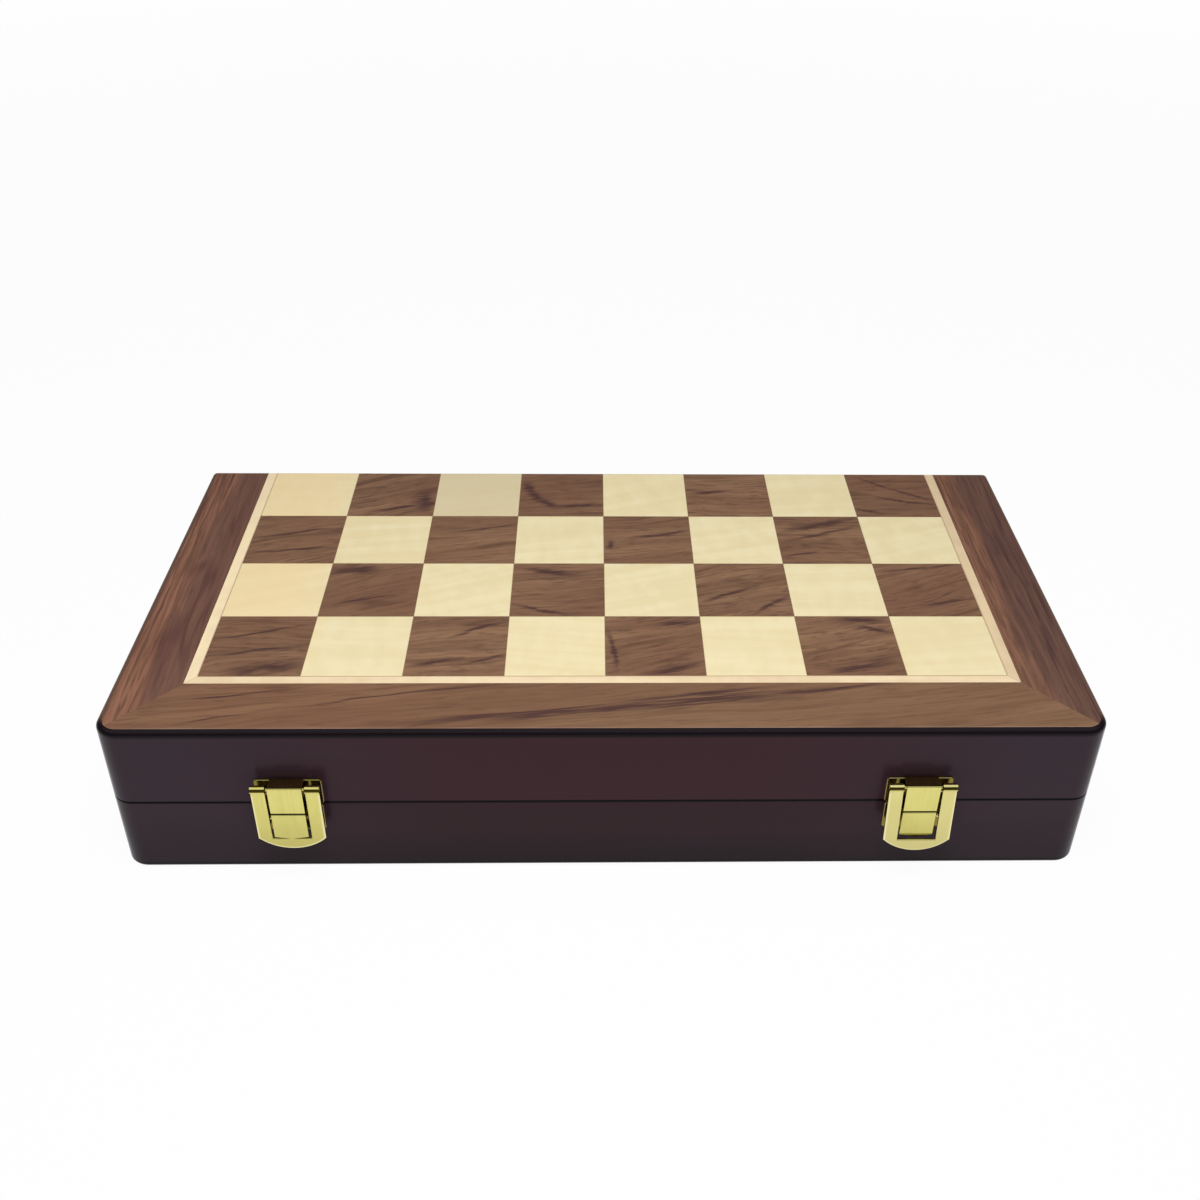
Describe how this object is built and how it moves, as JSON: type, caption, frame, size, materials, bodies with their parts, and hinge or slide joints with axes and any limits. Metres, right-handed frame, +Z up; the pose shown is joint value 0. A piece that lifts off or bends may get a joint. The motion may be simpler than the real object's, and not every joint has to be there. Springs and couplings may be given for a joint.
{
  "type": "folding chess board",
  "caption": "Folding wooden chess board closed as a flat case, with inlaid squares on both faces, rounded lacquered rims, brass hinges at the fold and brass flap latches on the front.",
  "frame": {"origin": "centre of the underside of the closed case, on the surface that it lies on", "axes": "+X to the right along the fold, +Y from the latches to the fold, +Z up through the upper board face"},
  "size_m": [0.2982, 0.1599, 0.0548],
  "materials": {
    "lacquered_wood": "satin burgundy-brown lacquer",
    "panel_wood": "plain sanded board",
    "dark_veneer": "satin dark veneer",
    "light_veneer": "satin pale veneer",
    "stringing_veneer": "satin pale veneer",
    "felt": "pressed green felt",
    "brass": "polished brass"
  },
  "bodies": {
    "lower_half": {"lower_front_wall": "lacquered_wood", "lower_back_wall": "lacquered_wood", "lower_left_wall": "lacquered_wood", "lower_right_wall": "lacquered_wood", "lower_board_panel": "panel_wood", "lower_border_front": "dark_veneer", "lower_border_left": "dark_veneer", "lower_border_right": "dark_veneer", "lower_stringing_front": "stringing_veneer", "lower_stringing_left": "stringing_veneer", "lower_stringing_right": "stringing_veneer", "lower_dark_squares": "dark_veneer", "lower_light_squares": "light_veneer", "lower_felt_lining": "felt", "hinge_left_lower_leaf": "brass", "hinge_right_lower_leaf": "brass", "hinge_lower_screws": "brass", "hinge_left_pin": "brass", "latch_left_catch": "brass", "hinge_right_pin": "brass", "latch_right_catch": "brass", "latch_lower_nails": "brass"},
    "upper_half": {"upper_front_wall": "lacquered_wood", "upper_back_wall": "lacquered_wood", "upper_left_wall": "lacquered_wood", "upper_right_wall": "lacquered_wood", "upper_board_panel": "panel_wood", "upper_border_front": "dark_veneer", "upper_border_left": "dark_veneer", "upper_border_right": "dark_veneer", "upper_stringing_front": "stringing_veneer", "upper_stringing_left": "stringing_veneer", "upper_stringing_right": "stringing_veneer", "upper_dark_squares": "dark_veneer", "upper_light_squares": "light_veneer", "upper_felt_lining": "felt", "hinge_left_upper_leaf": "brass", "hinge_right_upper_leaf": "brass", "hinge_upper_screws": "brass", "latch_left_keeper": "brass", "latch_left_pin": "brass", "latch_right_keeper": "brass", "latch_right_pin": "brass", "latch_upper_nails": "brass"},
    "latch_left_flap": {"latch_left_flap": "brass"},
    "latch_right_flap": {"latch_right_flap": "brass"}
  },
  "joints": [
    {"name": "case_fold", "type": "hinge", "parent": "lower_half", "child": "upper_half", "pos_m": [0, 0.0753, 0.0274], "axis": [-1, 0, 0], "range_deg": [0, 180]},
    {"name": "latch_left_swing", "type": "hinge", "parent": "upper_half", "child": "latch_left_flap", "pos_m": [-0.0945, -0.07955, 0.0366], "axis": [-1, 0, 0], "range_deg": [0, 135]},
    {"name": "latch_right_swing", "type": "hinge", "parent": "upper_half", "child": "latch_right_flap", "pos_m": [0.0945, -0.07955, 0.0366], "axis": [-1, 0, 0], "range_deg": [-5.5, 129.5]}
  ]
}
